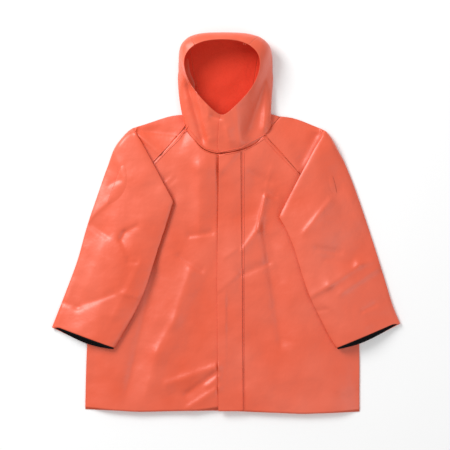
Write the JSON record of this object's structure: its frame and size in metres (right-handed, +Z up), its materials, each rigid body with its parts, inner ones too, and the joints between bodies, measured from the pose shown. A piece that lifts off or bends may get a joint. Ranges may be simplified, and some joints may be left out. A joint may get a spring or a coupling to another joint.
{
  "type": "fishing jacket",
  "caption": "Hooded waterproof fishing jacket of coated cloth, laid flat with its front closed and both raglan sleeves turned in over the fronts.",
  "frame": {"origin": "on the surface it lies on, under the middle of the jacket's box", "axes": "+Z up from the surface, +Y towards the hood, +X towards the wearer's left"},
  "size_m": [0.978, 1.0696, 0.0805],
  "materials": {
    "coated_cloth": "semi-gloss orange PVC-coated cloth, fine textile grain inside",
    "cuff_cloth": "matt black stretch cloth",
    "snap_metal": "dull metal"
  },
  "bodies": {
    "root": {"back": "coated_cloth", "front_right": "coated_cloth", "front_left": "coated_cloth", "storm_flap": "coated_cloth", "sleeve_right": "coated_cloth", "sleeve_left": "coated_cloth", "inner_cuff_right": "cuff_cloth", "inner_cuff_left": "cuff_cloth", "hood_right": "coated_cloth", "hood_left": "coated_cloth", "hood_crown": "coated_cloth", "snap_1": "snap_metal", "snap_2": "snap_metal", "snap_3": "snap_metal", "snap_4": "snap_metal", "snap_5": "snap_metal"}
  },
  "joints": []
}
